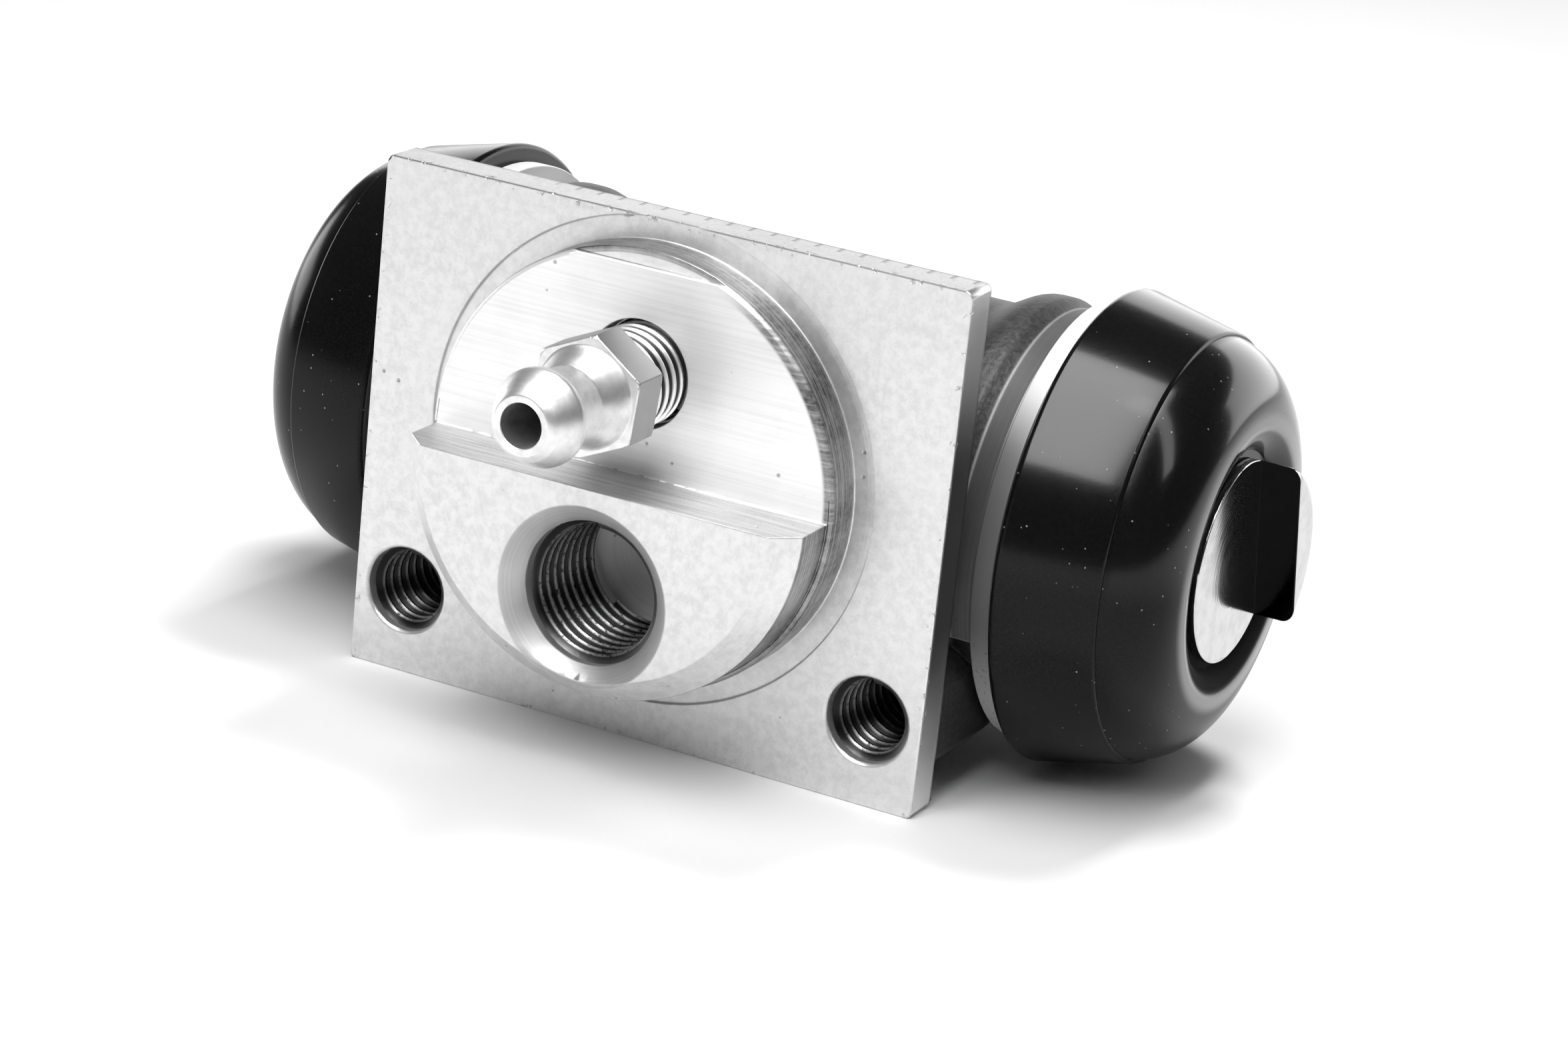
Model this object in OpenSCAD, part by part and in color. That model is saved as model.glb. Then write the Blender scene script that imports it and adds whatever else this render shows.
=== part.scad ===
// Drum brake wheel cylinder: a cast body with a mounting plate, a bleed screw,
// two pistons with cup seals and a spring between them, and two rubber dust boots.
// The origin is on the mounting face at the spigot's axis. X runs along the bore,
// -Y is the way the mounting face looks, and Z is up.

/* [Mounting plate] */
// Width of the plate, along the bore
plate_w = 44; // [43:0.5:50]
// Height of the plate
plate_h = 36.5; // [36:0.5:44]
// Thickness of the plate
plate_t = 3; // [2.5:0.1:4]
// Radius of the plate's corners
plate_corner_r = 0.5; // [0.3:0.1:1.5]
// How far the plate's middle lies below the spigot's axis
plate_drop = 1.5; // [1:0.1:2]
// Distance between the two mounting holes
hole_spacing = 36; // [34:0.5:37]
// How far the mounting holes lie below the spigot's axis
hole_drop = 13.75; // [13:0.25:14.5]
// Nominal thread diameter of the mounting holes
hole_d = 6; // [5:0.5:6]
// Width of the chamfer at each mounting hole's mouth
hole_chamfer = 0.2; // [0.1:0.05:0.4]
// Full depth of each mounting hole
hole_depth = 9; // [7:0.5:10]
// Diameter of the boss behind each mounting hole
hole_boss_d = 9.4; // [8:0.2:11]

/* [Spigot] */
// Diameter of the register that centres the cylinder in its back plate
spigot_d = 30.5; // [28:0.1:31]
// Height of the register, and of the milled upper face
register_h = 2.8; // [2:0.1:4]
// Height of the lower half, which carries the pipe port
land_h = 7.8; // [6:0.1:9]
// Step down from the register's diameter to the lower half's
land_step = 0.4; // [0.2:0.1:0.8]
// Chamfer round the lower half
land_chamfer = 1.7; // [1:0.1:2]
// Chamfer round the milled upper face
register_chamfer = 0.25; // [0.1:0.05:0.5]
// Height of the flat across the top of the upper face, above the axis
crown_rise = 14.1; // [13.5:0.1:14.4]
// Depth of that flat below the upper face
crown_drop = 0.4; // [0.2:0.1:0.8]
// Width of the ring faced round the spigot's foot
relief_w = 1.6; // [1.2:0.1:1.8]
// Depth of that ring below the mounting face
relief_depth = 0.25; // [0.15:0.05:0.6]

/* [Pipe port] */
// Nominal thread diameter of the pipe port
port_d = 10; // [10:0.5:12]
// Width of the chamfer at the port's mouth
port_chamfer = 1.35; // [0.8:0.05:1.5]
// How far the port lies below the spigot's axis
port_drop = 7.6; // [7:0.1:7.8]
// Depth of the port's thread
port_depth = 11; // [10:0.5:13]
// Diameter of the drilling from the port to the bore
feed_d = 3; // [2:0.5:4]

/* [Barrel] */
// Diameter of the bore
bore_d = 20.64; // [18:0.02:21]
// Distance from the mounting face back to the bore's axis
axis_back = 19.8; // [19:0.1:23]
// How far the bore's axis lies below the spigot's axis
axis_drop = 3.5; // [3:0.1:4]
// Diameter of the barrel's middle
barrel_d = 27.2; // [26:0.2:29]
// Diameter of the flare near each end
flare_d = 29.8; // [29.2:0.2:31]
// Distance from the middle to the start of the flare
flare_from = 15; // [14:0.2:16]
// Distance from the middle to the top of the flare
flare_top = 18.4; // [17.5:0.1:18.8]
// Width of the flare's level top
flare_w = 0.8; // [0.4:0.1:1]
// Diameter of the turned waist between the flare and the collar
waist_d = 28.6; // [28:0.2:29]
// Width of the waist
waist_w = 1.8; // [1.2:0.1:2]
// Diameter of the turned collar beside each boot
collar_d = 30.9; // [30.4:0.1:32]
// Distance from the middle to the collar
collar_from = 22.5; // [22.2:0.1:24]
// Width of the collar
collar_w = 1.4; // [1:0.1:2]
// Depth of the groove that holds the boot's bead, below the barrel's end
groove_depth = 0.7; // [0.5:0.1:1.2]
// Width of that groove
groove_w = 2.8; // [2:0.1:3.5]
// Diameter of the barrel's end, past the groove
end_d = 28.6; // [28:0.1:29]
// Length of the barrel's end, past the groove
end_len = 2.6; // [2:0.1:3]
// Chamfer at the mouth of the bore
bore_chamfer = 0.8; // [0.4:0.1:1.2]
// Width of the neck that joins the plate to the barrel
neck_w = 30; // [28:0.5:34]
// How far the neck's top and bottom lie inside the barrel's
neck_inset = 2.6; // [2:0.1:3.5]
// Radius of the neck's corners
neck_corner_r = 3; // [2:0.5:4]

/* [Bleed screw] */
// Nominal thread diameter of the screw
screw_d = 7; // [6:0.5:7]
// Width across the flats of its hexagon
hex_af = 7.5; // [7:0.1:8.5]
// Diameter of the bare part of the shank, at the root of its thread
root_d = 5.9; // [5.2:0.1:5.9]
// Length of the hexagon
hex_len = 3.2; // [3:0.1:5]
// How far the hexagon stands off the milled face
hex_off = 3.8; // [2:0.1:5]
// Turn of the hexagon about the screw's axis, as it was left tightened
hex_turn = 25; // [0:1:59]
// Length of the neck between the hexagon and the nipple
nipple_neck_len = 5.4; // [3:0.1:6]
// Length over which that neck flares out to the hexagon
neck_flare_len = 2.2; // [1.5:0.1:2.6]
// Diameter of the neck's straight part
nipple_neck_d = 5.2; // [4.6:0.1:5.6]
// Largest diameter of the nipple
nipple_d = 6.6; // [6.2:0.1:7]
// Diameter of the nipple at its tip
nipple_tip_d = 5; // [4.6:0.1:5.6]
// Length of the nipple
nipple_len = 2.7; // [2:0.1:4]
// Diameter of the drilling through the nipple
nipple_bore_d = 3; // [2:0.1:3.2]
// Diameter of the counterbore round the screw
screw_sink_d = 7.5; // [7.4:0.1:8.5]
// Depth of that counterbore
screw_sink_depth = 1.6; // [1:0.1:2.4]
// Depth of the tapped hole, below the milled face
screw_hole_depth = 11; // [9:0.5:12]
// Wall of the boss round the tapped hole, past its counterbore
bleed_boss_wall = 1; // [0.8:0.1:1.4]
// Diameter of the drilling that vents the crown of the bore
vent_d = 2.4; // [1.6:0.1:3]

/* [Pistons] */
// Distance from the middle to a piston's inner face, at rest
piston_from = 12.5; // [12:0.1:13]
// Length of the piston's skirt, which fits the bore
skirt_len = 15.5; // [14:0.1:16.5]
// Diameter of the nose that comes out through the boot
nose_d = 14.2; // [13.6:0.1:15]
// Distance from the inner face to the nose's flat end
piston_len = 22.6; // [22.2:0.1:24]
// Distance from the nose's axis to the wall of its shoe step
step_back = 3.5; // [2.5:0.1:4.5]
// Height of the lug behind the step
lug_len = 2.9; // [2:0.1:4]
// Radius that rounds the lug's end
lug_round = 0.9; // [0.5:0.1:1.4]
// Turn of the right piston about the bore, as it was left
right_roll = 14; // [-20:1:20]
// Turn of the left piston about the bore, as it was left
left_roll = 0; // [-20:1:20]

/* [Boots] */
// Thickness of a boot at its rim, over the barrel's end
rim_wall = 2.35; // [2:0.05:3]
// Thickness of its band at the crease, where the bulge begins
crease_wall = 0.7; // [0.6:0.05:1]
// Length of the band, from the rim to the crease
band_len = 7.1; // [6.8:0.1:8]
// Depth of the crease
crease_step = 0.25; // [0.15:0.05:0.4]
// Lean of the bulge's wall where it leaves the crease, in degrees
bulge_lean = 16; // [10:1:24]
// How far the bulge stands out past the crease
bulge_out = 4; // [3.6:0.1:4.2]
// Radius over which the bulge rolls in to the lip
roll_r = 2.2; // [2:0.1:2.4]
// Thickness of the boot's wall
boot_wall = 1.2; // [0.9:0.1:1.4]
// Width of the boot's lip in the piston's groove
lip_w = 1.6; // [1.2:0.1:2]
// Depth of the piston's groove for the lip
lip_groove = 1.1; // [0.8:0.1:1.4]

/* [Seals and spring] */
// Thickness of a cup seal's base
cup_base = 2.4; // [1.8:0.1:3]
// Length of a cup seal, with its lip
cup_len = 6.2; // [5:0.1:6.6]
// Thickness of the lip at its edge
cup_lip_t = 1.1; // [0.8:0.1:1.6]
// Thickness of a spring cup's sheet
spring_cup_t = 0.7; // [0.5:0.1:1]
// Depth of a spring cup's dish
spring_cup_h = 2.6; // [2:0.1:3.2]
// Mean diameter of the spring's coils
coil_d = 9; // [8:0.1:10]
// Diameter of the spring's wire
wire_d = 1.2; // [0.8:0.1:1.5]
// Number of turns
coil_turns = 5; // [4:0.5:7]

/* [Clearances] */
// Radial running clearance of the pistons and seals in the bore
bore_clear = 0.04; // [0.02:0.01:0.08]
// Radial running clearance of the bleed screw in its hole
screw_clear = 0.05; // [0.02:0.01:0.08]
// Clearance of rubber round metal, at the bead and the lip
boot_clear = 0.1; // [0.05:0.01:0.2]
// Gap between the collar and the boot's rim
rim_gap = 0.4; // [0.2:0.05:0.6]
// Gap between the spring and its cups
spring_gap = 0.05; // [0.02:0.01:0.1]
// Radial gap between a spring cup and the seal round it
spring_cup_gap = 1.1; // [0.8:0.1:1.4]

/* [Hidden] */
$fn = 64;
eps = 0.01;

// Small sizes that several pieces share or that hardly show
cut_over = 1;
drill_point = 59;
edge_break = 0.5;
cup_fillet = 0.7;
sheet_bend = 1.2;
closed_pitch = 1.05;
roll_end = 150;
cross_rise = 4;

// Sizes worked out from those above
bore_r = bore_d / 2;
barrel_r = barrel_d / 2;
spigot_r = spigot_d / 2;
land_r = spigot_r - land_step;
plate_bottom = -plate_drop - plate_h / 2;
bleed_rise = bore_r - axis_drop;
neck_top = barrel_r - axis_drop - neck_inset;
neck_bottom = -axis_drop - barrel_r + neck_inset;
bleed_boss_r = screw_sink_d / 2 + bleed_boss_wall;
collar_to = collar_from + collar_w;
groove_d = end_d - 2 * groove_depth;
groove_to = collar_to + groove_w;
body_end = groove_to + end_len;
piston_r = bore_r - bore_clear;
nose_r = nose_d / 2;
nose_at = piston_from + piston_len;
lip_seat_r = nose_r - lip_groove;
boot_in_r = end_d / 2 + boot_clear;
rim_r = boot_in_r + rim_wall;
crease_r = boot_in_r + crease_wall;
rim_at = collar_to + rim_gap;
crease_at = rim_at + band_len;
crest_at = crease_at + bulge_out;
bulge_r = bulge_out / (1 - sin(bulge_lean));
bulge_axis_r = crease_r - crease_step - bulge_r * cos(bulge_lean);
lip_to = crest_at - roll_r + roll_r * sin(roll_end);
lip_at = lip_to - lip_w;
lip_in_r = lip_seat_r + boot_clear;
cup_inner_r = piston_r - cup_lip_t;
spring_cup_at = piston_from - cup_base;
spring_cup_r = cup_inner_r - spring_cup_gap;
spring_end = spring_cup_at - spring_cup_t - spring_gap;

// Points of an arc in a plane, from one angle to another, counted from the first one that is wanted
function arc(centre, radius, from, to, first = 0, steps = 12) =
    [for (i = [first:steps]) let (a = from + (to - from) * i / steps) centre + radius * [cos(a), sin(a)]];

// Points of a smooth rise from one point to another
function rise(from, to, steps = 10) =
    [
        for (i = [0:steps])
            let (t = i / steps)
            [from.x + (to.x - from.x) * (1 - cos(180 * t)) / 2, from.y + (to.y - from.y) * t]
    ];

// Turns a profile of [radius, distance from the middle] about the bore's axis
module on_bore() {
    translate([0, axis_back, -axis_drop]) rotate([0, 90, 0]) children();
}

// A cylinder along +Y from the plane y = from
module along_y(x, z, from, length, r1, r2) {
    translate([x, from, z]) rotate([-90, 0, 0]) cylinder(h = length, r1 = r1, r2 = r2);
}

// A tapped hole from the plane y = from: chamfered mouth, straight wall and drill point
module tapped_hole(x, z, from, radius, depth, chamfer) {
    along_y(x, z, from - eps, depth + eps, radius, radius);
    along_y(x, z, from - eps, chamfer + eps, radius + chamfer + eps, radius);
    along_y(x, z, from + depth, radius / tan(drill_point), radius, 0);
}

// A block along +Y with round corners
module round_block(width, low, high, from, length, r) {
    translate([0, from + length, 0]) rotate([90, 0, 0]) linear_extrude(length) {
        translate([-width / 2 + r, low]) square([width - 2 * r, high - low]);
        translate([-width / 2, low + r]) square([width, high - low - 2 * r]);
        for (x = [-width / 2 + r, width / 2 - r], z = [low + r, high - r]) translate([x, z]) circle(r);
    }
}

// Half of the barrel's outline, from the middle out to its end
function barrel_half() = concat(
    rise([barrel_r, flare_from], [flare_d / 2, flare_top]),
    rise([flare_d / 2, flare_top + flare_w], [waist_d / 2, collar_from - waist_w]),
    [
        [waist_d / 2, collar_from], [collar_d / 2, collar_from], [collar_d / 2, collar_to],
        [groove_d / 2, collar_to], [groove_d / 2, groove_to], [end_d / 2, groove_to],
        [end_d / 2, body_end - edge_break], [end_d / 2 - edge_break, body_end]
    ]
);

module barrel() {
    half = barrel_half();
    other = [for (i = [len(half) - 1:-1:0]) [half[i].x, -half[i].y]];
    on_bore() rotate_extrude() polygon(concat([[0, -body_end]], other, half, [[0, body_end]]));
}

// Spigot with its higher lower half and its milled upper half
module spigot() {
    difference() {
        rotate([90, 0, 0]) rotate_extrude() polygon([
            [0, -plate_t], [spigot_r, -plate_t], [spigot_r, register_h - register_chamfer],
            [spigot_r - register_chamfer, register_h], [land_r, register_h], [land_r, land_h - land_chamfer],
            [land_r - land_chamfer, land_h], [0, land_h]
        ]);
        translate([-spigot_r, -land_h - cut_over, 0])
            cube([spigot_d, land_h + cut_over - register_h, spigot_d]);
        translate([-spigot_r, -register_h - cut_over, crown_rise])
            cube([spigot_d, cut_over + crown_drop, spigot_d]);
    }
}

// Boss behind a mounting hole, cut off flush with the plate's edges
module hole_boss(x) {
    radius = hole_boss_d / 2;
    intersection() {
        along_y(x, -hole_drop, plate_t - eps, hole_depth + hole_d / 2 - plate_t, radius, radius);
        round_block(plate_w, plate_bottom, plate_bottom + plate_h, 0, axis_back, plate_corner_r);
    }
}

// Round-ended boss behind the bleed screw's hole, which runs out into the barrel
module bleed_boss() {
    length = screw_hole_depth - register_h - plate_t;
    along_y(0, bleed_rise, plate_t - eps, length + eps, bleed_boss_r, bleed_boss_r);
    translate([0, plate_t + length, bleed_rise]) sphere(bleed_boss_r);
}

// Plate with the ring faced round the spigot's foot
module plate() {
    faced_r = spigot_r + relief_w;
    difference() {
        round_block(plate_w, plate_bottom, plate_bottom + plate_h, 0, plate_t, plate_corner_r);
        along_y(0, 0, -cut_over, cut_over + relief_depth, faced_r, faced_r);
    }
}

// Bore with its chamfered mouths
module bore() {
    on_bore() translate([0, 0, -body_end - cut_over]) cylinder(h = 2 * (body_end + cut_over), r = bore_r);
    for (side = [0, 1]) on_bore() mirror([0, 0, side]) translate([0, 0, body_end - bore_chamfer])
        cylinder(h = bore_chamfer + eps, r1 = bore_r, r2 = bore_r + bore_chamfer + eps);
}

module cylinder_body() color("gainsboro") difference() {
    screw_hole_r = screw_d / 2 + screw_clear;
    union() {
        plate();
        spigot();
        round_block(neck_w, neck_bottom, neck_top, plate_t - eps, axis_back - plate_t, neck_corner_r);
        bleed_boss();
        for (side = [-1, 1]) hole_boss(side * hole_spacing / 2);
        barrel();
    }
    bore();
    for (side = [-1, 1])
        tapped_hole(side * hole_spacing / 2, -hole_drop, 0, hole_d / 2, hole_depth, hole_chamfer);
    tapped_hole(0, -port_drop, -land_h, port_d / 2, port_depth, port_chamfer);
    along_y(0, -port_drop, 0, axis_back, feed_d / 2, feed_d / 2);
    tapped_hole(0, bleed_rise, -register_h, screw_hole_r, screw_hole_depth, 0);
    along_y(0, bleed_rise, -register_h - eps, screw_sink_depth + eps, screw_sink_d / 2, screw_sink_d / 2);
    along_y(0, bleed_rise, 0, axis_back, vent_d / 2, vent_d / 2);
}

// Screw about its own axis, with the milled face at zero and the nipple up
module screw_form() {
    seat_r = vent_d / 2;
    thread_r = screw_d / 2;
    root_r = root_d / 2;
    corner_r = hex_af / 2 / cos(30);
    cross_r = nipple_bore_d / 4;
    point = edge_break - screw_hole_depth;
    hex_to = hex_off + hex_len;
    nipple_at = hex_to + nipple_neck_len;
    tip = nipple_at + nipple_len;
    difference() {
        union() {
            rotate_extrude() polygon([
                [0, point], [seat_r, point], [thread_r, point + thread_r - seat_r],
                [thread_r, root_r - thread_r - screw_sink_depth], [root_r, -screw_sink_depth],
                [root_r, hex_off], [(hex_af - edge_break) / 2, hex_to],
                [nipple_neck_d / 2, hex_to + neck_flare_len], [nipple_neck_d / 2, nipple_at],
                [nipple_d / 2, nipple_at], [nipple_d / 2, nipple_at + edge_break],
                [nipple_tip_d / 2, tip - edge_break], [nipple_tip_d / 2 - edge_break, tip], [0, tip]
            ]);
            translate([0, 0, hex_off]) rotate(hex_turn) intersection() {
                cylinder(h = hex_len, r = corner_r, $fn = 6);
                rotate_extrude() polygon([
                    [0, 0], [corner_r - edge_break / 2, 0], [corner_r + edge_break, edge_break],
                    [corner_r + edge_break, hex_len - edge_break], [corner_r - edge_break / 2, hex_len],
                    [0, hex_len]
                ]);
            }
        }
        translate([0, 0, point + cross_rise - cross_r]) cylinder(h = tip - point, r = nipple_bore_d / 2);
        translate([-screw_d, 0, point + cross_rise]) rotate([0, 90, 0])
            cylinder(h = 2 * screw_d, r = cross_r);
    }
}

module bleed_screw() color("silver") translate([0, -register_h, bleed_rise]) rotate([90, 0, 0]) screw_form();

// Boot to the right of the middle: bead, tapered band, bulge and lip
module boot() color([0.1, 0.1, 0.1]) {
    bead_r = groove_d / 2 + boot_clear;
    bulge = [bulge_axis_r, crest_at - bulge_r];
    roll = [bulge_axis_r, crest_at - roll_r];
    on_bore() rotate_extrude() polygon(concat(
        [
            [bead_r, rim_at], [rim_r - edge_break, rim_at], [rim_r, rim_at + edge_break],
            [crease_r, crease_at]
        ],
        arc(bulge, bulge_r, bulge_lean, 90),
        arc(roll, roll_r, 90, roll_end, first = 1),
        [[lip_in_r, lip_to], [lip_in_r, lip_at]],
        arc(roll, roll_r - boot_wall, 180, 90),
        arc(bulge, bulge_r - boot_wall, 90, bulge_lean, first = 1),
        [
            [boot_in_r, body_end + boot_clear], [boot_in_r, groove_to - boot_clear],
            [bead_r, groove_to - boot_clear]
        ]
    ));
}

// Piston to the right of the middle: skirt, nose with the lip's groove, and the lug of its shoe step
module piston(roll) color("lightgray") translate([0, axis_back, -axis_drop]) rotate([roll, 0, 0]) {
    skirt_to = piston_from + skirt_len;
    difference() {
        rotate([0, 90, 0]) rotate_extrude() polygon(concat(
            [
                [0, piston_from], [piston_r - edge_break, piston_from], [piston_r, piston_from + edge_break],
                [piston_r, skirt_to - edge_break], [piston_r - edge_break, skirt_to], [nose_r, skirt_to],
                [nose_r, lip_at - boot_clear], [lip_seat_r, lip_at - boot_clear],
                [lip_seat_r, lip_to + boot_clear], [nose_r, lip_to + boot_clear]
            ],
            arc([nose_r - lug_round, nose_at + lug_len - lug_round], lug_round, 0, 90),
            [[0, nose_at + lug_len]]
        ));
        translate([nose_at, -nose_d, -nose_d]) cube([lug_len + cut_over, nose_d + step_back, 2 * nose_d]);
    }
}

// Cup seal to the right of the middle: base against the piston, lip towards the spring
module cup_seal() color([0.12, 0.12, 0.13]) {
    mouth = piston_from - cup_len;
    floor_at = piston_from - cup_base;
    on_bore() rotate_extrude() polygon([
        [0, piston_from], [piston_r - edge_break, piston_from], [piston_r, piston_from - edge_break],
        [piston_r, mouth + edge_break], [piston_r - edge_break / 2, mouth],
        [cup_inner_r, mouth + edge_break / 2], [cup_inner_r - cup_fillet, floor_at + cup_fillet],
        [cup_inner_r - 2 * cup_fillet, floor_at], [0, floor_at]
    ]);
}

// Spring cup to the right of the middle: a dished disc with a turned rim and a spigot for the spring
module spring_cup() color("darkgray") {
    back = spring_cup_at;
    front = back - spring_cup_t;
    inside_r = spring_cup_r - spring_cup_t;
    inside_bend = sheet_bend + spring_cup_t * tan(22.5);
    locate_r = coil_d / 2 - wire_d / 2 - 3 * spring_gap;
    on_bore() rotate_extrude() polygon([
        [0, back], [spring_cup_r - sheet_bend, back], [spring_cup_r, back - sheet_bend],
        [spring_cup_r, back - spring_cup_h], [inside_r, back - spring_cup_h],
        [inside_r, back - inside_bend], [spring_cup_r - inside_bend, front],
        [locate_r, front], [locate_r, front - wire_d], [0, front - wire_d]
    ]);
}

// Distance along the spring after so many turns, with a closed turn at each end
function spring_travel(turn, span) =
    let (closed = wire_d * closed_pitch)
    turn < 1 ? turn * closed
    : turn > coil_turns + 1 ? span - (coil_turns + 2 - turn) * closed
    : closed + (turn - 1) * (span - 2 * closed) / coil_turns;

// Compression spring between the two spring cups
module return_spring() color("slategray") {
    sides = 10;
    steps = 28;
    count = round(steps * (coil_turns + 2));
    reach = spring_end - wire_d / 2;
    points = [
        for (i = [0:count], j = [0:sides - 1])
            let (turn = i / steps, a = 360 * turn, b = 360 * j / sides, r = coil_d / 2 + wire_d / 2 * cos(b))
            [spring_travel(turn, 2 * reach) - reach + wire_d / 2 * sin(b), r * cos(a), r * sin(a)]
    ];
    walls = [
        for (i = [0:count - 1], j = [0:sides - 1])
            let (k = (j + 1) % sides)
            [i * sides + j, i * sides + k, (i + 1) * sides + k, (i + 1) * sides + j]
    ];
    start = [for (j = [sides - 1:-1:0]) j];
    finish = [for (j = [0:sides - 1]) count * sides + j];
    translate([0, axis_back, -axis_drop]) polyhedron(points, concat(walls, [start, finish]));
}

module left_boot() mirror([1, 0, 0]) boot();
module right_boot() boot();
module left_piston() mirror([1, 0, 0]) piston(left_roll);
module right_piston() piston(right_roll);
module left_cup_seal() mirror([1, 0, 0]) cup_seal();
module right_cup_seal() cup_seal();
module left_spring_cup() mirror([1, 0, 0]) spring_cup();
module right_spring_cup() spring_cup();

cylinder_body();
bleed_screw();
left_boot();
right_boot();
left_piston();
right_piston();
left_cup_seal();
right_cup_seal();
left_spring_cup();
right_spring_cup();
return_spring();
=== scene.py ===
import math

import bmesh
import bpy
from mathutils import Matrix, Vector


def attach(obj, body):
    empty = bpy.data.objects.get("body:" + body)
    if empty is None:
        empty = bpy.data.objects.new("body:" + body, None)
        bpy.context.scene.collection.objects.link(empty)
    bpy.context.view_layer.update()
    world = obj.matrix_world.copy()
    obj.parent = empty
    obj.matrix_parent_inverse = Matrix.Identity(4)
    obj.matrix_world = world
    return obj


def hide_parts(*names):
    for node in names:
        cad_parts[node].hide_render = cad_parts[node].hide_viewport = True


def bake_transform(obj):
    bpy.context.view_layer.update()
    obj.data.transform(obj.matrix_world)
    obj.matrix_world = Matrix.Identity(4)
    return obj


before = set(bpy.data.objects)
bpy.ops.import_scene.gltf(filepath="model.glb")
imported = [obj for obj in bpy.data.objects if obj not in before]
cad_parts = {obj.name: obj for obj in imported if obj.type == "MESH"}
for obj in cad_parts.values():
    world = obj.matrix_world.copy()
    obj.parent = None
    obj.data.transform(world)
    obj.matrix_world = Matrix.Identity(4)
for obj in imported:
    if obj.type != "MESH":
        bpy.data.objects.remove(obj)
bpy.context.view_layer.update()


# Cylinder body: one aluminium die casting. The mounting face, the spigot, the bores and both
# ends are machined bright, and the barrel, its neck and the bosses keep the mould's grey skin.
MM = 0.001


class Shade:
    """One output in a material's node tree. A sum on it adds a Math node."""

    def __init__(self, tree, socket=None):
        self.tree = tree
        self.socket = socket

    def node(self, kind, settings=None, sockets=None, out=0):
        """Adds a node: its settings first, then the values or links of its sockets."""
        new = self.tree.nodes.new("ShaderNode" + kind)
        for name, value in (settings or {}).items():
            setattr(new, name, value)
        for key, value in (sockets or {}).items():
            if isinstance(value, Shade):
                self.tree.links.new(value.socket, new.inputs[key])
            else:
                new.inputs[key].default_value = value
        return Shade(self.tree, new.outputs[out])

    def math(self, operation, first, second=0.0):
        return self.node("Math", {"operation": operation}, {0: first, 1: second})

    def __add__(self, other):
        return self.math("ADD", self, other)

    def __sub__(self, other):
        return self.math("SUBTRACT", self, other)

    def __rsub__(self, other):
        return self.math("SUBTRACT", other, self)

    def __mul__(self, other):
        return self.math("MULTIPLY", self, other)

    def __pow__(self, other):
        return self.math("POWER", self, other)

    def __abs__(self):
        return self.math("ABSOLUTE", self)

    __radd__ = __add__
    __rmul__ = __mul__

    def rise(self, low, high):
        """0 below low, 1 above high, and a smooth rise between them."""
        settings = {"interpolation_type": "SMOOTHSTEP", "clamp": True}
        return self.node("MapRange", settings, {0: self, 1: low, 2: high, 3: 0.0, 4: 1.0})

    def mix(self, first, second):
        """The first colour where this is 0, the second where it is 1."""
        return self.node("Mix", {"data_type": "RGBA"}, {0: self, 6: first, 7: second}, out=2)

    def stretch(self, across, along, up):
        """Coordinates made denser or longer along each axis."""
        return self.node("VectorMath", {"operation": "MULTIPLY"}, {0: self, 1: (across, along, up)})

    def noise(self, scale, detail=2.0, rough=0.5):
        sockets = {"Vector": self, "Scale": scale, "Detail": detail, "Roughness": rough}
        return self.node("TexNoise", None, sockets)

    def specks(self, scale, core, edge):
        """Round specks, one in each cell: 1 in the core, 0 past the edge."""
        cells = self.node("TexVoronoi", None, {"Vector": self, "Scale": scale}, out="Distance")
        return 1 - cells.rise(core, edge)

    def split(self):
        parts = self.tree.nodes.new("ShaderNodeSeparateXYZ")
        self.tree.links.new(self.socket, parts.inputs[0])
        return [Shade(self.tree, output) for output in parts.outputs]

    def join(self, x, y, z):
        return self.node("CombineXYZ", None, {0: x, 1: y, 2: z})


def grey(level):
    return (level, level, level, 1.0)


def distance(across, up):
    """How far a point lies from an axis, by its two offsets from it."""
    return (across * across + up * up) ** 0.5


def new_finish(name, **fixed):
    """A material with its fixed sockets set. Returns it, its shader and its coordinates in mm."""
    finish = bpy.data.materials.new(name)
    finish.use_nodes = True
    shader = finish.node_tree.nodes["Principled BSDF"]
    for socket, value in fixed.items():
        shader.inputs[socket.replace("_", " ")].default_value = value
    place = Shade(finish.node_tree).node("TexCoord", None, None, out="Object")
    in_mm = place.node("VectorMath", {"operation": "SCALE"}, {0: place, "Scale": 1 / MM})
    return finish, shader, in_mm


def feed(shader, height=None, **inputs):
    """Links what varies to a shader. A height in mm goes through a Bump node."""
    for socket, shade in inputs.items():
        shade.tree.links.new(shade.socket, shader.inputs[socket.replace("_", " ")])
    if height is not None:
        bump = height.node("Bump", None, {"Height": height, "Distance": MM, "Strength": 1.0})
        height.tree.links.new(bump.socket, shader.inputs["Normal"])


def ease_edges(piece, width, finish, sharpest=28):
    """Gives a solid its finish, and breaks its sharp edges as a deburring brush does."""
    piece.data.materials.clear()
    piece.data.materials.append(finish)
    weld = piece.modifiers.new("weld", "WELD")
    weld.merge_threshold = 0.002 * MM
    edge = piece.modifiers.new("edge", "BEVEL")
    edge.width = width * MM
    edge.segments = 2
    edge.limit_method = "ANGLE"
    edge.angle_limit = math.radians(sharpest)
    edge.use_clamp_overlap = False
    edge.harden_normals = True
    piece.modifiers.new("even", "WEIGHTED_NORMAL").keep_sharp = True


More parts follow.
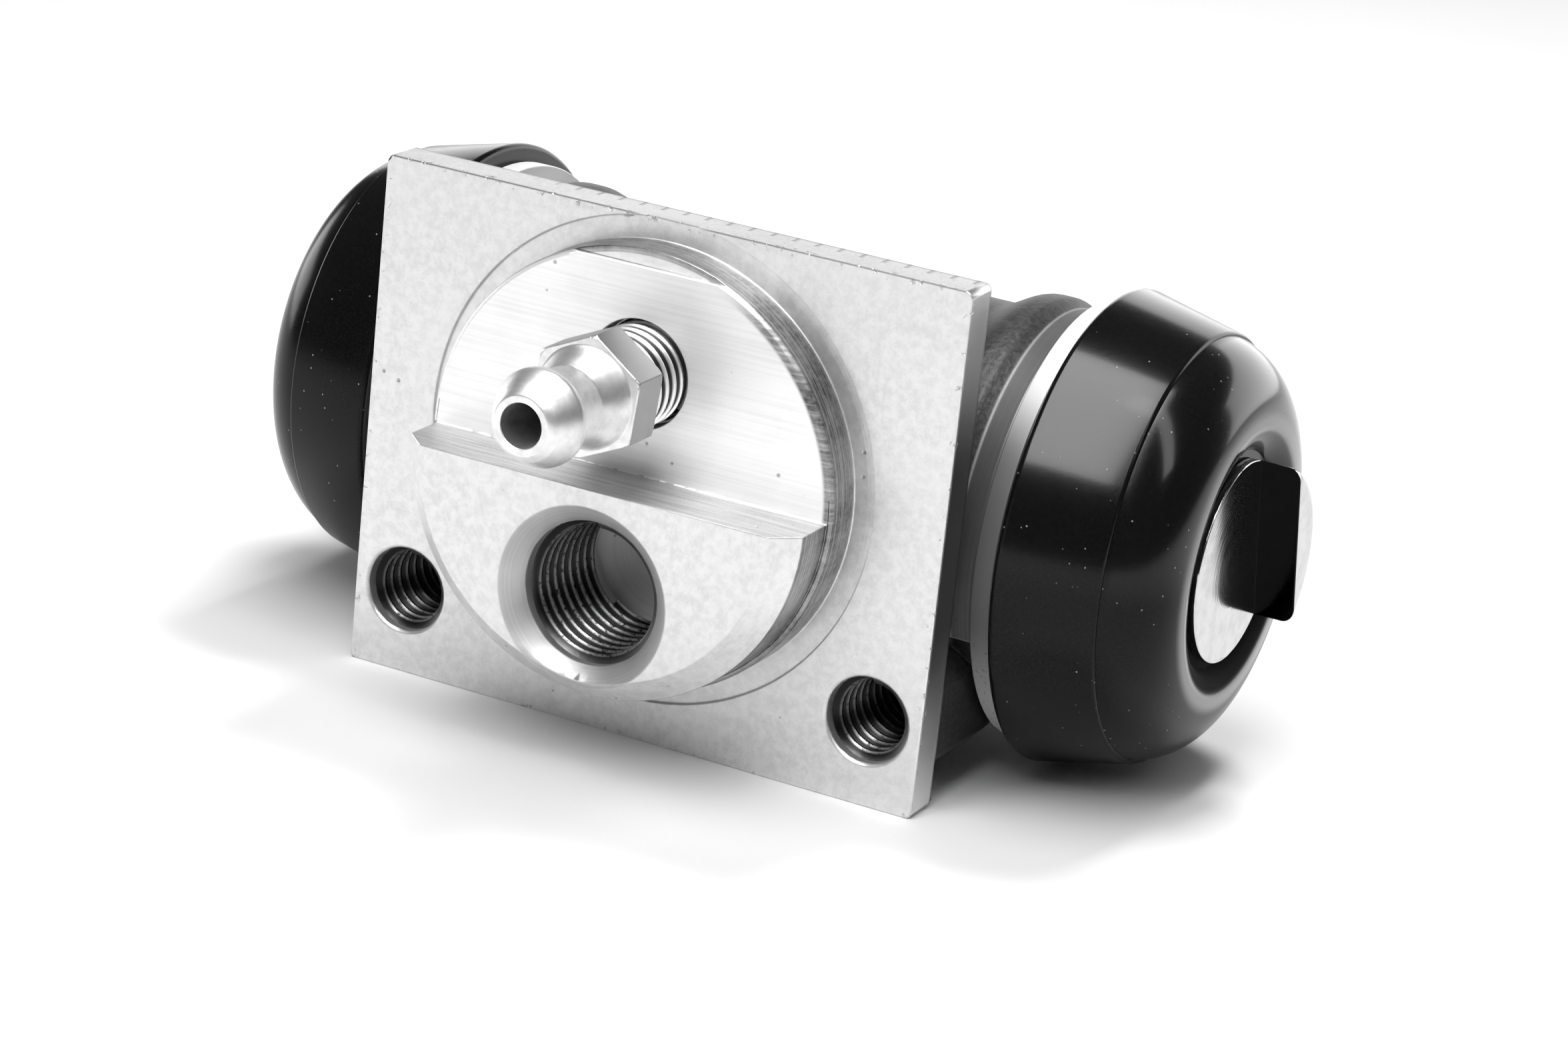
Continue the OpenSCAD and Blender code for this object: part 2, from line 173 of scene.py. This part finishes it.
PLATE_SIDE = 22.0
PLATE_TOP = 16.75
PLATE_MIDDLE = -1.5
PLATE_FOOT = -19.75
PLATE_BACK = 3.0
BOSS_TOP = -9.0
BOSS_BACK = 12.0
FACED_R = 16.85
REGISTER_R = 15.25
LAND_R = 14.85
UPPER_FACE = -2.8
PORT_Z = -7.6
PORT_R = 5.0
PORT_MOUTH_R = 6.35
PORT_FLOOR = 3.2
FEED_END = 9.0
BORE_Y = 19.8
BORE_Z = -3.5
WAIST_X = 20.6
COLLAR_X = 22.5
alloy, alloy_shader, mm = new_finish("machined_casting")
x, y, z = mm.split()
reach = distance(x, z)
port_reach = distance(x, z - PORT_Z)
bore_reach = distance(y - BORE_Y, z - BORE_Z)

# Where each way of machining left its surface, and where the mould's skin is still there.
hole_boss = ((1 - y.rise(BOSS_BACK - 0.1, BOSS_BACK + 0.1)) * (1 - z.rise(BOSS_TOP - 0.1, BOSS_TOP + 0.1))
             * (1 - abs(x).rise(PLATE_SIDE, PLATE_SIDE + 0.1)))
turned_end = (abs(x).rise(WAIST_X - 0.3, WAIST_X) * y.rise(PLATE_BACK + 0.2, PLATE_BACK + 0.6)
              * (1 - hole_boss))
waist = turned_end * (1 - abs(x).rise(COLLAR_X - 0.1, COLLAR_X))
plate_side = abs(x).rise(PLATE_SIDE - 0.08, PLATE_SIDE - 0.02) * y.rise(0.15, 0.4)
port_seat = ((1 - port_reach.rise(PORT_R + 0.2, PORT_R + 0.3)) * y.rise(PORT_FLOOR - 0.8, PORT_FLOOR - 0.6)
             * (1 - y.rise(FEED_END - 0.2, FEED_END)))
skin = y.rise(PLATE_BACK - 0.4, PLATE_BACK + 0.1) * (1 - turned_end) * (1 - port_seat)
plate_top = z.rise(PLATE_TOP - 0.13, PLATE_TOP - 0.05) * (1 - skin)
upper_face = (1 - y.rise(UPPER_FACE + 0.05, UPPER_FACE + 0.5)) * z.rise(0.02, 0.08)
spigot_wall = (reach.rise(LAND_R - 0.07, LAND_R - 0.01) * (1 - reach.rise(REGISTER_R + 0.02, REGISTER_R + 0.05))
               * (1 - y.rise(0.1, 0.2)) * (1 - upper_face))
riser = (1 - abs(z).rise(0.03, 0.06)) * (1 - y.rise(UPPER_FACE - 0.04, UPPER_FACE))
faced = 1 - reach.rise(FACED_R - 0.1, FACED_R)
ring_step = (reach.rise(FACED_R - 0.15, FACED_R - 0.05) * (1 - reach.rise(FACED_R + 0.05, FACED_R + 0.15))
             * (1 - y.rise(0.3, 0.4)))
lathe = (1 - upper_face) * (1 - skin) * (1 - turned_end)
port_cut = 1 - port_reach.rise(PORT_MOUTH_R - 0.05, PORT_MOUTH_R + 0.1)
port_mouth = port_cut * lathe

# The tools' marks, the casting's grain, the small flaws of a part that has been handled, and a painted shade at
# the land's right edge.
mill_marks = mm.stretch(0.05, 1.0, 5.0).noise(1.0, 3.0, 0.6)
riser_marks = mm.stretch(0.12, 2.5, 1.0).noise(1.0, 3.0, 0.6)
turning_marks = mm.join(reach * 7.0, y * 9.0, x * 0.02).noise(1.0, 2.0, 0.6)
port_marks = mm.join(port_reach * 8.0, y * 8.0, 0.0).noise(1.0, 2.0, 0.6)
end_marks = mm.join(x * 9.0, bore_reach * 9.0, 0.0).noise(1.0, 2.0, 0.6)
speckle = mm.noise(4.5, 2.0, 0.7)
marks = (mill_marks * upper_face + turning_marks * lathe * faced * (1 - port_cut)
         + port_marks * port_mouth + end_marks * turned_end + speckle * lathe * (1 - faced))
cast_grain = mm.noise(2.6, 4.0, 0.65)
mottle = mm.noise(1.3, 4.0, 0.7).rise(0.35, 0.65)
wear = mm.noise(0.16, 3.0, 0.55).rise(0.35, 0.7) * 0.35 + marks.rise(0.35, 0.75) * 0.4
# Painted shade: the upper face is painted dark along the right part of its edge at the land.
painted_edge_shade = upper_face * reach.rise(LAND_R - 0.45, LAND_R - 0.15) * x.rise(5.0, 10.0)
burr = riser * y.rise(UPPER_FACE - 0.25, UPPER_FACE - 0.1) * mm.noise(1.4, 2.0, 0.6).rise(0.42, 0.5)
pits = mm.specks(0.6, 0.05, 0.11) * mm.noise(0.12, 2.0).rise(0.58, 0.62)
collar_specks = mm.noise(3.4, 2.0, 0.6).rise(0.6, 0.68) * turned_end * (1 - z.rise(-10.0, -2.0))
cutter_steps = mm.math("FRACT", x * 0.61).rise(0.8, 0.9)
top_ticks = (cutter_steps * z.rise(PLATE_TOP - 0.15, PLATE_TOP - 0.05) * y.rise(1.6, 2.0)
             * x.rise(-14.0, -6.0))
plate_rim = (abs(x).rise(PLATE_SIDE - 0.6, PLATE_SIDE - 0.2) + z.rise(PLATE_TOP - 0.55, PLATE_TOP - 0.15)
             + (1 - z.rise(PLATE_FOOT + 0.15, PLATE_FOOT + 0.55)))
nicks = (mm.noise(1.6, 2.0, 0.6).rise(0.6, 0.72) * plate_rim
         * y.rise(-0.3, -0.1) * (1 - y.rise(0.3, 0.6)))

# The metal's tone, laid on one surface after the other, with painted light and shade on the spigot's wall, the
# collar, the waist, the riser and the plate's side.
# Painted shade: the spigot's wall is painted dark, with a random grain in it.
painted_wall_shade = mm.noise(2.2, 3.0, 0.7).rise(0.35, 0.65).mix(grey(0.03), grey(0.15))
# Painted light and shade: the collar is painted bright below, dark on top, and darker on the left end.
painted_collar_light = z.rise(2.0, 9.0).mix(grey(0.9), x.rise(-1.0, 1.0).mix(grey(0.08), grey(0.3)))
# Painted light and shade: the waist is painted lighter towards the bottom and dark on top.
painted_waist_light = z.rise(-12.0, 6.0).mix(grey(0.3), grey(0.06))
# The riser's milling marks, in a painted shade darker than the faces beside it.
riser_painted_shade = riser_marks.rise(0.35, 0.65).mix(grey(0.42), grey(0.66))
# Painted shade in the middle of the plate's side, and painted light towards its top and foot.
painted_side_shading = abs(z - PLATE_MIDDLE).rise(5.0, 15.0).mix(grey(0.14), grey(0.75))
skin_tone = cast_grain.rise(0.3, 0.7).mix(grey(0.035), grey(0.07))
# Worn places, which keep the painted light and shade of the collar and the plate's side.
worn_and_painted_tone = plate_top.mix(grey(0.78), grey(0.3))
worn_and_painted_tone = turned_end.mix(worn_and_painted_tone, waist.mix(painted_collar_light, grey(0.12)))
worn_and_painted_tone = plate_side.mix(worn_and_painted_tone, painted_side_shading)
tone = upper_face.mix(mottle.mix(grey(0.64), grey(0.77)), grey(0.97))
tone = (spigot_wall + painted_edge_shade).mix(tone, painted_wall_shade)
tone = port_mouth.mix(tone, grey(0.5))
tone = port_seat.mix(tone, grey(0.95))
tone = turned_end.mix(tone, waist.mix(painted_collar_light, painted_waist_light))
tone = riser.mix(tone, riser_painted_shade)
tone = plate_side.mix(tone, painted_side_shading)
tone = plate_top.mix(tone, grey(0.42))
tone = wear.mix(tone, worn_and_painted_tone)
tone = skin.mix(tone, skin_tone)
tone = (pits * 0.6 + nicks * 0.35 + collar_specks * 0.6 + top_ticks * 0.5).mix(tone, grey(0.12))
tone = burr.mix(tone, grey(0.97))
roughness = (0.3 + marks * 0.16 + skin * 0.2 + cast_grain * skin * 0.1 + nicks * 0.2
             + upper_face * 0.12 - plate_side * 0.06 + turned_end * 0.28 + burr * 0.3 + port_mouth * 0.15)
relief = (marks * 0.006 * (1 - skin) + cast_grain * skin * 0.05
          - pits * 0.03 - nicks * 0.06 - top_ticks * 0.05)
feed(alloy_shader, height=relief, Base_Color=tone, Roughness=roughness,
     Metallic=0.85 - ring_step * 0.7 - turned_end * 0.35 - port_seat * 0.75)
ease_edges(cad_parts["cylinder_body"], 0.09, alloy)


# Tapped threads: the ridges that a tap leaves in the pipe port and in the two mounting holes.
# Each is one fine helix in the casting's own metal, which the mouth's chamfer cuts away.
THREAD_PITCH = 1.0
THREAD_FLANK = 0.42
THREAD_H = 0.54
THREAD_SINK = 0.03
THREAD_GAP = 0.02
THREAD_STEPS = 56
SHARP_FROM = math.radians(35)
PORT_THREAD_Y = -6.45
PORT_THREAD_LEN = 9.6
HOLE_X = 18.0
HOLE_Z = -13.75
HOLE_R = 3.0
HOLE_THREAD_Y = 0.2
HOLE_THREAD_LEN = 8.7


def finish_mesh(bm, name, finish):
    """Makes a piece from a mesh in mm, with its doubles merged and its faces turned outwards."""
    bmesh.ops.remove_doubles(bm, verts=bm.verts, dist=1e-5)
    bmesh.ops.recalc_face_normals(bm, faces=bm.faces)
    bmesh.ops.scale(bm, vec=(MM, MM, MM), verts=bm.verts)
    for face in bm.faces:
        face.smooth = True
    for edge in bm.edges:
        edge.smooth = len(edge.link_faces) < 2 or edge.calc_face_angle() < SHARP_FROM
    mesh = bpy.data.meshes.new(name)
    bm.to_mesh(mesh)
    bm.free()
    mesh.materials.append(finish)
    piece = bpy.data.objects.new(name, mesh)
    bpy.context.scene.collection.objects.link(piece)
    return piece


def outline(bm, corners):
    """A chain of edges through points in the XZ plane, closed to a loop."""
    verts = [bm.verts.new((a, 0.0, r)) for a, r in corners]
    return verts, [bm.edges.new(pair) for pair in zip(verts, verts[1:] + verts[:1])]


def helix(root_r, crest_r, length, mouth_at):
    """A thread's ridge, laid along +Y from its mouth. In a hole it runs out at both ends."""
    bm = bmesh.new()
    verts, edges = outline(bm, [(THREAD_GAP, root_r), (THREAD_FLANK, crest_r),
                                (THREAD_PITCH - THREAD_FLANK, crest_r), (THREAD_PITCH - THREAD_GAP, root_r)])
    turns = length / THREAD_PITCH - 1
    steps = round(turns * THREAD_STEPS)
    bmesh.ops.spin(bm, geom=verts + edges, cent=(0, 0, 0), axis=(1, 0, 0), angle=math.tau * turns,
                   dvec=(THREAD_PITCH * turns / steps, 0, 0), steps=steps, use_duplicate=False)
    bmesh.ops.holes_fill(bm, edges=[e for e in bm.edges if len(e.link_faces) == 1], sides=0)
    if crest_r < root_r:
        for v in bm.verts:
            here = math.hypot(v.co.y, v.co.z)
            cone = max(here, root_r - v.co.x, root_r - length + v.co.x)
            v.co.yz = v.co.yz * (min(root_r, cone) / here)
    bmesh.ops.rotate(bm, verts=bm.verts, cent=(0, 0, 0), matrix=Matrix.Rotation(math.radians(90), 3, "Z"))
    bmesh.ops.translate(bm, verts=bm.verts, vec=mouth_at)
    return bm


cut_alloy, cut_shader, mm = new_finish("cut_thread", Metallic=1.0)
x, y, z = mm.split()
port_reach = distance(x, z - PORT_Z)
hole_reach = distance(abs(x) - HOLE_X, z - HOLE_Z)
in_port = 1 - port_reach.rise(PORT_R + 0.1, PORT_R + 0.3)
in_hole = 1 - hole_reach.rise(HOLE_R + 0.1, HOLE_R + 0.3)
crest = 1 - port_reach.rise(PORT_R - 0.48, PORT_R - 0.36) * hole_reach.rise(HOLE_R - 0.48, HOLE_R - 0.36)
# Painted highlight on the crests low in each hole.
port_low_highlight = in_port * (1 - z.rise(PORT_Z - 4.2, PORT_Z + 0.5))
hole_low_highlight = in_hole * (1 - z.rise(HOLE_Z - 2.85, HOLE_Z - 0.85)) * (1 - y.rise(1.5, 5.0))
# Painted light near each mouth, and painted shade on the thread deeper in.
mouth = (in_port * (1 - y.rise(PORT_THREAD_Y + 0.15, PORT_THREAD_Y + 0.95))
         + in_hole * (1 - y.rise(HOLE_THREAD_Y + 0.1, HOLE_THREAD_Y + 0.8)))
chatter = mm.noise(3.0, 3.0, 0.6)
painted_crest_highlight = crest * chatter.rise(0.3, 0.5) * (0.1 + port_low_highlight * 0.42 + hole_low_highlight * 0.35)
feed(cut_shader, height=chatter * 0.01, Roughness=0.25 + chatter * 0.15,
     Base_Color=painted_crest_highlight.mix(mouth.mix(grey(0.02), grey(0.4)), grey(0.8)))
for name, wall_r, length, mouth_at in (
    ("pipe_port_thread", PORT_R, PORT_THREAD_LEN, (0.0, PORT_THREAD_Y, PORT_Z)),
    ("left_mounting_thread", HOLE_R, HOLE_THREAD_LEN, (-HOLE_X, HOLE_THREAD_Y, HOLE_Z)),
    ("right_mounting_thread", HOLE_R, HOLE_THREAD_LEN, (HOLE_X, HOLE_THREAD_Y, HOLE_Z)),
):
    ridge = helix(wall_r + THREAD_SINK, wall_r - THREAD_H, length, mouth_at)
    thread = finish_mesh(ridge, name, cut_alloy)
    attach(thread, "cylinder")


# Return spring: hard-drawn wire with a closed turn at each end, between the two spring cups.
# It is made in two halves that meet at the middle.
BORE = Vector((0.0, BORE_Y, BORE_Z))
COIL_R = 4.5
WIRE_R = 0.6
WIRE_SIDES = 12
SPRING_END = 9.35
CLOSED_PITCH = 1.26
OPEN_TURNS = 2.5
TURN_STEPS = 40
wire, wire_shader, mm = new_finish("spring_wire", Metallic=1.0)
draw_marks = mm.noise(2.5, 3.0, 0.6)
feed(wire_shader, Base_Color=draw_marks.rise(0.3, 0.7).mix(grey(0.26), grey(0.4)),
     Roughness=0.28 + draw_marks * 0.2)
open_pitch = (SPRING_END - WIRE_R - CLOSED_PITCH) / OPEN_TURNS
for side, name, body in (
    (1, "right_spring_half", "right_piston_set"),
    (-1, "left_spring_half", "left_piston_set"),
):
    bm = bmesh.new()
    ring = bmesh.ops.create_circle(bm, segments=WIRE_SIDES, radius=WIRE_R)["verts"]
    bmesh.ops.rotate(bm, verts=ring, cent=(0, 0, 0), matrix=Matrix.Rotation(math.radians(90), 3, "X"))
    bmesh.ops.translate(bm, verts=ring, vec=(0, 0, COIL_R))
    last = list(bm.verts) + list(bm.edges)
    for turns, pitch in ((OPEN_TURNS, open_pitch), (1.0, CLOSED_PITCH)):
        steps = round(turns * TURN_STEPS)
        last = bmesh.ops.spin(bm, geom=last, cent=(0, 0, 0), axis=(1, 0, 0), angle=math.tau * turns,
                              dvec=(pitch * turns / steps, 0, 0), steps=steps,
                              use_duplicate=False)["geom_last"]
    bmesh.ops.holes_fill(bm, edges=[e for e in bm.edges if len(e.link_faces) == 1], sides=0)
    if side < 0:
        bmesh.ops.rotate(bm, verts=bm.verts, cent=(0, 0, 0), matrix=Matrix.Rotation(math.pi, 3, "Z"))
    bmesh.ops.translate(bm, verts=bm.verts, vec=BORE)
    half = finish_mesh(bm, name, wire)
    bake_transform(half)
    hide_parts("return_spring")


# Spring cups: thin steel pressings, zinc plated, that spread the spring's load over the seals.
# Each sits in a cup seal and has a raised middle that keeps the spring central.
plated, plated_shader, mm = new_finish("plated_pressing", Metallic=1.0)
bloom = mm.noise(0.9, 3.0, 0.6)
zinc = bloom.rise(0.3, 0.7).mix((0.62, 0.62, 0.6, 1), (0.76, 0.76, 0.73, 1))
feed(plated_shader, Base_Color=zinc, Roughness=0.3 + bloom * 0.2)
for name in ("left_spring_cup", "right_spring_cup"):
    ease_edges(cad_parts[name], 0.06, plated)


# Cup seals: moulded rubber cups, lip towards the fluid, that seal the pistons in the bore.
# They are wet with assembly paste, so they shine more than the boots.
seal, seal_shader, mm = new_finish("seal_rubber", Coat_Weight=0.3, Coat_Roughness=0.2)
smear = mm.noise(0.7, 3.0, 0.6)
feed(seal_shader, height=mm.noise(5.0, 2.0) * 0.01, Roughness=0.35 + smear * 0.25,
     Base_Color=smear.rise(0.3, 0.7).mix(grey(0.012), grey(0.03)))
for name in ("left_cup_seal", "right_cup_seal"):
    ease_edges(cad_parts[name], 0.12, seal)


# Pistons: turned from bar and bright plated, with a groove for the boot's lip and a milled step
# across the nose, which leaves the lug that the brake shoe's web stands against. The right one
# lies turned a little in its bore, and the step's wall is painted near black as painted shade.
STEP_X = 35.1
LUG_WALL = 3.5
ROLL = math.radians(14)
bar, bar_shader, mm = new_finish("piston_metal", Metallic=1.0)
x, y, z = mm.split()
across = y - BORE_Y
up = z - BORE_Z
feed_marks = mm.join(x * 6.0, distance(across, up) * 6.0, 0.0).noise(1.0, 2.0, 0.6)
handling = mm.noise(0.8, 4.0, 0.65)
right_wall = abs(across * math.cos(ROLL) + up * math.sin(ROLL) - LUG_WALL)
left_wall = abs(across - LUG_WALL)
# Painted shade: the wall of each step is painted near black.
painted_dark_step_wall = (x.rise(STEP_X - 0.04, STEP_X - 0.01) * (1 - right_wall.rise(0.1, 0.14))
             + (1 - x.rise(0.01 - STEP_X, 0.04 - STEP_X)) * (1 - left_wall.rise(0.1, 0.14)))
bright = handling.rise(0.35, 0.7).mix(grey(0.58), grey(0.48))
feed(bar_shader, height=feed_marks * 0.004, Roughness=0.06 + feed_marks * 0.06 + handling * 0.06,
     Base_Color=painted_dark_step_wall.mix(bright, grey(0.008)))
for name in ("left_piston", "right_piston"):
    ease_edges(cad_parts[name], 0.08, bar)


# Dust boots: moulded black rubber. A bead grips the barrel's groove, the tapered band hides it,
# and past a crease the wall bulges over and turns in to a lip that sits in the piston's groove.
# Dust lies on them, and a film of paste shines on the crest and on the right one's upper side.
RIM_X = 24.3
RIM_R = 16.75
RIM_ROUND = 0.5
BEAD_R = 13.7
BEAD_TO = 26.6
BAND_IN_R = 14.4
BARREL_END = 29.4
CREASE_X = 31.4
CREASE_R = 15.1
CREASE_STEP = 0.25
CREASE_ROUND = 0.22
BULGE_LEAN = 16.0
CREST_X = 35.4
ROLL_R = 2.2
ROLL_END = 150.0
BOOT_WALL = 1.2
LIP_W = 1.6
LIP_IN_R = 6.1
BOOT_STEPS = 144
rubber, rubber_shader, mm = new_finish("boot_rubber", Specular_IOR_Level=0.14, Coat_Roughness=0.12)
x, y, z = mm.split()
bore_reach = distance(y - BORE_Y, z - BORE_Z)
fine = mm.noise(6.0, 3.0, 0.65)
patchy = mm.noise(0.35, 4.0, 0.6)
dust = mm.specks(1.15, 0.05, 0.09) * patchy.rise(0.42, 0.6)
# Painted light: the rim's end face is painted a lighter grey.
painted_rim_light = 1 - abs(x).rise(RIM_X + 0.04, RIM_X + 0.1)
lip_hollow = 1 - bore_reach.rise(8.8, 9.4)
crest_film = bore_reach.rise(9.1, 9.4) * (1 - bore_reach.rise(9.9, 10.8))
upper_film = (x.rise(0.0, 1.0) * z.rise(-4.0, 1.0)
              * (0.28 + abs(x).rise(CREASE_X + 0.1, CREASE_X + 0.6) * 0.32))
black = fine.rise(0.3, 0.8).mix(grey(0.003), grey(0.007))
# The grey here is the dust's colour, and the painted light on the rim's end face.
feed(rubber_shader, height=fine * 0.005 + dust * 0.02,
     Base_Color=(dust + painted_rim_light * 0.25).mix(black, grey(0.3)),
     Roughness=0.13 + patchy * 0.06 + fine * 0.08 + dust * 0.3 + lip_hollow * 0.7,
     Coat_Weight=crest_film + upper_film * (1 - crest_film))


def sweep(centre, radius, start_deg, end_deg, steps=20):
    """Outline points on an arc, by angle from its outward side towards the nose."""
    bm = bmesh.new()
    start = math.radians(start_deg)
    first = bm.verts.new(centre + Vector((math.sin(start), 0, math.cos(start))) * radius)
    bmesh.ops.spin(bm, geom=[first], cent=centre, axis=(0, 1, 0),
                   angle=math.radians(end_deg - start_deg), dvec=(0, 0, 0),
                   steps=steps, use_duplicate=False)
    points = [(v.co.x, v.co.z) for v in bm.verts]
    bm.free()
    return points


def boot_part(name, corners, rounded, side):
    """Spins a closed outline about the bore, with the corners in rounded eased by their offsets."""
    bm = bmesh.new()
    verts, _ = outline(bm, corners)
    for index, offset in rounded.items():
        bmesh.ops.bevel(bm, geom=[verts[index]], offset=offset, offset_type="OFFSET", segments=4,
                        profile=0.5, affect="VERTICES", material=-1)
    bmesh.ops.spin(bm, geom=bm.verts[:] + bm.edges[:], cent=(0, 0, 0), axis=(1, 0, 0), angle=math.tau,
                   dvec=(0, 0, 0), steps=BOOT_STEPS, use_merge=True, use_duplicate=False)
    if side < 0:
        bmesh.ops.scale(bm, vec=(-1, 1, 1), verts=bm.verts)
    bmesh.ops.translate(bm, verts=bm.verts, vec=BORE)
    return finish_mesh(bm, name, rubber)


bulge_r = (CREST_X - CREASE_X) / (1 - math.sin(math.radians(BULGE_LEAN)))
crest_r = CREASE_R - CREASE_STEP - bulge_r * math.cos(math.radians(BULGE_LEAN))
bulge = Vector((CREST_X - bulge_r, 0.0, crest_r))
roll = Vector((CREST_X - ROLL_R, 0.0, crest_r))
rim_corner, crease_corner = 1, 2
rounded = {rim_corner: RIM_ROUND, crease_corner: CREASE_ROUND}
band = [(RIM_X, BEAD_R), (RIM_X, RIM_R), (CREASE_X, CREASE_R)]
band += sweep(bulge, bulge_r, BULGE_LEAN, 90) + sweep(bulge, bulge_r - BOOT_WALL, 90, BULGE_LEAN)
band += [(BARREL_END, BAND_IN_R), (BEAD_TO, BAND_IN_R), (BEAD_TO, BEAD_R)]
lip = sweep(roll, ROLL_R, 90, ROLL_END)
lip_to = lip[-1][0]
lip += [(lip_to, LIP_IN_R), (lip_to - LIP_W, LIP_IN_R)]
lip += sweep(roll, ROLL_R - BOOT_WALL, 180, 90)
for side, hand in ((1, "right"), (-1, "left")):
    boot_band = boot_part(hand + "_boot_band", band, rounded, side)
    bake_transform(boot_band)
    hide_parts(hand + "_boot")
    boot_lip = boot_part(hand + "_boot_lip", lip, {}, side)
    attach(boot_lip, hand + "_piston_set")


# Bleed screw: turned and threaded from bright plated hexagon steel, screwed into the milled face.
# A drilling runs through its nipple, and its rolled thread shows where it enters the hole.
BLEED_Z = 6.82
SCREW_R = 3.5
SCREW_ROOT_R = 2.93
SCREW_THREAD_LEN = 5.35
HEX_OUTER = -9.8
HEX_INNER = -6.6
steel, steel_shader, mm = new_finish("bright_steel", Metallic=1.0)
x, y, z = mm.split()
axis_reach = distance(x, z - BLEED_Z)
tool_marks = mm.join(y * 7.0, axis_reach * 7.0, 0.0).noise(1.0, 3.0, 0.65)
tarnish = mm.noise(0.9, 3.0, 0.6)
# Painted shade: the thread's roots and flanks are painted near black between the crests.
painted_root_shade = (y.rise(HEX_INNER + 0.02, HEX_INNER + 0.1)
               * (1 - axis_reach.rise(SCREW_R - 0.22, SCREW_R - 0.08)))
hexagon = (y.rise(HEX_OUTER + 0.05, HEX_OUTER + 0.15) * (1 - y.rise(HEX_INNER - 0.05, HEX_INNER))
           * axis_reach.rise(SCREW_R, SCREW_R + 0.1))
turned = tarnish.rise(0.35, 0.75).mix(grey(0.86), grey(0.7))
feed(steel_shader, height=tool_marks * 0.006, Roughness=0.28 + tool_marks * 0.14 + tarnish * 0.1,
     Base_Color=painted_root_shade.mix(hexagon.mix(turned, grey(0.36)), grey(0.04)))
ease_edges(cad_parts["bleed_screw"], 0.08, steel, sharpest=14)
ridge = helix(SCREW_ROOT_R, SCREW_R - 0.02, SCREW_THREAD_LEN, (0.0, HEX_INNER + 0.02, BLEED_Z))
screw_thread = finish_mesh(ridge, "bleed_screw_thread", steel)
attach(screw_thread, "bleeder")


# Studio: a pale paper floor under the boots and the plate's lower edge, a long soft box overhead,
# a strip on its right, weak cards in front and on the left, a bright wall and a lamp behind, and
# a camera at the photograph's place.
FLOOR_LEAN = math.radians(1.465)
FLOOR_SIZE = 2000
bm = bmesh.new()
bmesh.ops.create_grid(bm, x_segments=1, y_segments=1, size=FLOOR_SIZE)
bmesh.ops.rotate(bm, verts=bm.verts, cent=(0, 0, 0), matrix=Matrix.Rotation(-FLOOR_LEAN, 3, "X"))
bmesh.ops.translate(bm, verts=bm.verts, vec=(0.0, 0.0, PLATE_FOOT))
paper, paper_shader, mm = new_finish("floor_paper", Roughness=0.9, Specular_IOR_Level=0.1)
feed(paper_shader, Base_Color=mm.noise(0.05, 2.0).mix(grey(0.9), grey(0.93)))
floor = finish_mesh(bm, "floor", paper)

world = bpy.data.worlds.new("studio")
bpy.context.scene.world = world
world.use_nodes = True
room = world.node_tree.nodes["Background"]
room.inputs["Color"].default_value = grey(1.0)
room.inputs["Strength"].default_value = 0.06

# Each lamp's place, width and height in mm, its power in watts, whether it lights the pieces, and
# whether they mirror it.
AIM = Vector((0.0, 5.0, 0.0))
for name, place, width, height, power, lighting, mirrored in (
    ("top_box", (10.0, -110.0, 345.0), 200.0, 430.0, 1.2, True, True),
    ("top_box_glare", (10.0, -108.0, 338.0), 200.0, 430.0, 2.0, False, True),
    ("side_strip", (215.0, -40.0, 330.0), 70.0, 350.0, 0.25, True, True),
    ("front_card", (-190.0, -340.0, 60.0), 260.0, 260.0, 0.06, True, True),
    ("front_fill", (-130.0, -380.0, 230.0), 160.0, 160.0, 0.35, True, False),
    ("left_card", (-500.0, 120.0, 60.0), 300.0, 160.0, 0.6, False, True),
    ("back_wall", (0.0, 520.0, 130.0), 1000.0, 320.0, 2.4, False, True),
    ("back_top", (20.0, 290.0, 480.0), 160.0, 120.0, 2.2, True, False),
):
    lamp = bpy.data.lights.new(name, "AREA")
    lamp.shape = "RECTANGLE"
    lamp.size = width * MM
    lamp.size_y = height * MM
    lamp.energy = power
    stand = bpy.data.objects.new(name, lamp)
    stand.location = Vector(place) * MM
    stand.rotation_euler = (Vector(place) - AIM).to_track_quat("Z", "Y").to_euler()
    stand.visible_diffuse = lighting
    stand.visible_glossy = mirrored
    bpy.context.scene.collection.objects.link(stand)

CAMERA_AT = Vector((132.48, -255.54, 95.09))
RIGHT = Vector((0.8823, 0.4596, 0.1012))
UP = Vector((-0.2351, 0.2440, 0.9409))
BACK = Vector((0.4077, -0.8539, 0.3233))
shot = bpy.data.cameras.new("camera")
shot.lens = 104.07
shot.sensor_width = 36.0
shot.clip_start = 0.01
camera = bpy.data.objects.new("camera", shot)
turn = Matrix((RIGHT, UP, BACK)).transposed().to_4x4()
camera.matrix_world = Matrix.Translation(CAMERA_AT * MM) @ turn
bpy.context.scene.collection.objects.link(camera)
bpy.context.scene.camera = camera
bpy.context.scene.view_settings.view_transform = "Standard"
